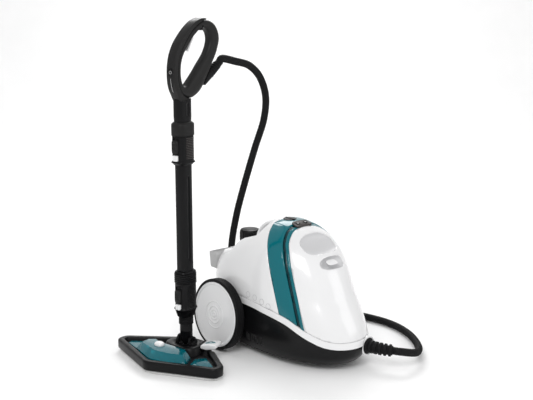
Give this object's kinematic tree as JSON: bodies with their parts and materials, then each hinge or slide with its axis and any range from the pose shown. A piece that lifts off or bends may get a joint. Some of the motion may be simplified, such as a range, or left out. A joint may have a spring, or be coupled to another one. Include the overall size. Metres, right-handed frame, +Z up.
{
  "type": "steam_cleaner",
  "caption": "Wheeled canister steam cleaner with a long ribbed hose to an upright wand that has a loop handle with a trigger and a pivoting arrow-shaped floor brush.",
  "frame": {"origin": "on the floor, under the middle of the whole object without its hose", "axes": "+Z up, -Y the way the canister's nose points, +X to the canister's own left seen from the nose, the wand standing on the -X side"},
  "size_m": [0.6931, 0.597, 0.8269],
  "materials": {
    "white_gloss": "glossy white moulding",
    "teal_gloss": "glossy teal moulding",
    "teal_dark": "very dark teal, glossy",
    "teal_clear": "tinted clear moulding",
    "black_satin": "satin black moulding",
    "black_rubber": "matt black rubber",
    "graphite": "satin dark grey moulding",
    "grey_panel": "matt warm grey",
    "grey_light": "matt light grey",
    "steel": "drawn steel",
    "brass": "turned brass",
    "cloth_white": "white microfibre"
  },
  "bodies": {
    "canister": {"base_tray": "black_satin", "skirt": "white_gloss", "rear_shell": "white_gloss", "front_shell": "white_gloss", "band_rear": "teal_gloss", "band_groove": "teal_dark", "band_front": "teal_gloss", "accessory_bin": "grey_light", "carry_handle": "white_gloss", "filler_neck": "brass", "control_panel": "grey_panel", "grip_scoop": "white_gloss", "fill_basin": "white_gloss", "boiler": "steel", "water_tank": "teal_clear", "pump": "black_satin", "left_axle": "steel", "right_axle": "steel", "hose_gland": "white_gloss", "hose_boot": "black_rubber", "hose": "black_rubber"},
    "left_wheel_body": {"left_wheel": "black_satin", "left_tyre": "black_rubber", "left_hub_cap": "white_gloss"},
    "right_wheel_body": {"right_wheel": "black_satin", "right_tyre": "black_rubber", "right_hub_cap": "white_gloss"},
    "caster": {"caster_fork": "black_satin"},
    "caster_roller": {"caster_wheel": "black_rubber"},
    "dial": {"steam_dial": "black_satin"},
    "power_key": {"power_button": "grey_light"},
    "boiler_key": {"boiler_button": "grey_light"},
    "safety_cap": {"boiler_cap": "black_satin"},
    "flap": {"fill_flap": "white_gloss"},
    "wand": {"handle_grip": "graphite", "handle_spine": "graphite", "handle_neck": "black_satin", "handle_boot": "black_rubber", "upper_collar": "graphite", "upper_connector": "black_satin", "wand_tube": "black_satin", "lower_connector": "black_satin", "neck_bellows": "black_rubber", "brush_neck": "black_satin"},
    "turret": {"brush_turret": "black_satin"},
    "brush": {"brush_base": "black_satin", "brush_pad": "cloth_white", "brush_hump": "black_satin", "steam_tank": "teal_clear", "left_insert": "teal_clear", "right_insert": "teal_clear"},
    "trigger": {"steam_trigger": "grey_light"},
    "lock": {"trigger_lock": "black_satin"},
    "function_key": {"function_button": "graphite"},
    "upper_catch": {"upper_latch": "graphite"},
    "upper_push": {"upper_release": "white_gloss"},
    "lower_catch": {"lower_latch": "graphite"},
    "lower_push": {"lower_release": "white_gloss"},
    "brush_cap": {"tank_cap": "white_gloss"},
    "pedal": {"brush_pedal": "white_gloss"}
  },
  "joints": [
    {"name": "left_wheel_spin", "type": "hinge", "parent": "canister", "child": "left_wheel_body", "pos_m": [-0.04411, 0.119, 0.09062], "axis": [0.9976, 0, -0.0698], "continuous": true},
    {"name": "right_wheel_spin", "type": "hinge", "parent": "canister", "child": "right_wheel_body", "pos_m": [0.26611, 0.119, 0.09062], "axis": [0.9976, 0, 0.0698], "continuous": true},
    {"name": "caster_swivel", "type": "hinge", "parent": "canister", "child": "caster", "pos_m": [0.111, -0.114, 0.05], "axis": [0, 0, 1], "continuous": true},
    {"name": "caster_roll", "type": "hinge", "parent": "caster", "child": "caster_roller", "pos_m": [0.098, -0.114, 0.019], "axis": [0, 1, 0], "continuous": true},
    {"name": "dial_turn", "type": "hinge", "parent": "canister", "child": "dial", "pos_m": [0.111, 0.024, 0.33], "axis": [0, 0, 1], "range_deg": [0, 270]},
    {"name": "power_press", "type": "slide", "parent": "canister", "child": "power_key", "axis": [0, 0.2773, -0.9608], "range_m": [0, 0.001], "stiffness_N_per_m": 400},
    {"name": "boiler_press", "type": "slide", "parent": "canister", "child": "boiler_key", "axis": [0, 0.2773, -0.9608], "range_m": [0, 0.001], "stiffness_N_per_m": 400},
    {"name": "cap_turn", "type": "hinge", "parent": "canister", "child": "safety_cap", "pos_m": [0.111, 0.181, 0.26], "axis": [0, 0, 1], "range_deg": [0, 120]},
    {"name": "flap_open", "type": "hinge", "parent": "canister", "child": "flap", "pos_m": [0.111, -0.11939, 0.2545], "axis": [-1, 0, 0], "range_deg": [0, 60]},
    {"name": "wand_lift", "type": "slide", "parent": "canister", "child": "wand", "axis": [0, 0, 1], "range_m": [0, 0.25], "deforming": ["hose"]},
    {"name": "brush_pitch", "type": "hinge", "parent": "wand", "child": "turret", "pos_m": [-0.1432, 0.121, 0.046], "axis": [0.1736, -0.9848, 0], "range_deg": [-10, 55]},
    {"name": "brush_swivel", "type": "hinge", "parent": "turret", "child": "brush", "pos_m": [-0.1432, 0.121, 0.03], "axis": [0, 0, 1], "range_deg": [-25, 25]},
    {"name": "trigger_pull", "type": "hinge", "parent": "wand", "child": "trigger", "pos_m": [-0.10922, 0.12699, 0.7815], "axis": [-0.1736, 0.9848, 0], "range_deg": [0, 10], "stiffness_Nm_per_rad": 0.3},
    {"name": "lock_slide", "type": "slide", "parent": "wand", "child": "lock", "axis": [0.1736, -0.9848, 0], "range_m": [0, 0.003]},
    {"name": "function_press", "type": "slide", "parent": "wand", "child": "function_key", "axis": [0.9848, 0.1736, 0], "range_m": [0, 0.0015], "stiffness_N_per_m": 400},
    {"name": "upper_catch_slide", "type": "slide", "parent": "wand", "child": "upper_catch", "axis": [0, 0, 1], "range_m": [0, 0.006]},
    {"name": "upper_push_in", "type": "slide", "parent": "wand", "child": "upper_push", "axis": [0.9848, 0.1736, 0], "range_m": [0, 0.002], "stiffness_N_per_m": 400},
    {"name": "lower_catch_slide", "type": "slide", "parent": "wand", "child": "lower_catch", "axis": [0, 0, 1], "range_m": [0, 0.006]},
    {"name": "lower_push_in", "type": "slide", "parent": "wand", "child": "lower_push", "axis": [0.9848, 0.1736, 0], "range_m": [0, 0.002], "stiffness_N_per_m": 400},
    {"name": "tank_cap_turn", "type": "hinge", "parent": "brush", "child": "brush_cap", "pos_m": [-0.21468, 0.1348, 0.0443], "axis": [0, 0, 1], "range_deg": [0, 90]},
    {"name": "pedal_press", "type": "hinge", "parent": "brush", "child": "pedal", "pos_m": [-0.12208, 0.08127, 0.037], "axis": [0.8829, 0.4695, 0], "range_deg": [0, 5], "stiffness_Nm_per_rad": 3}
  ]
}
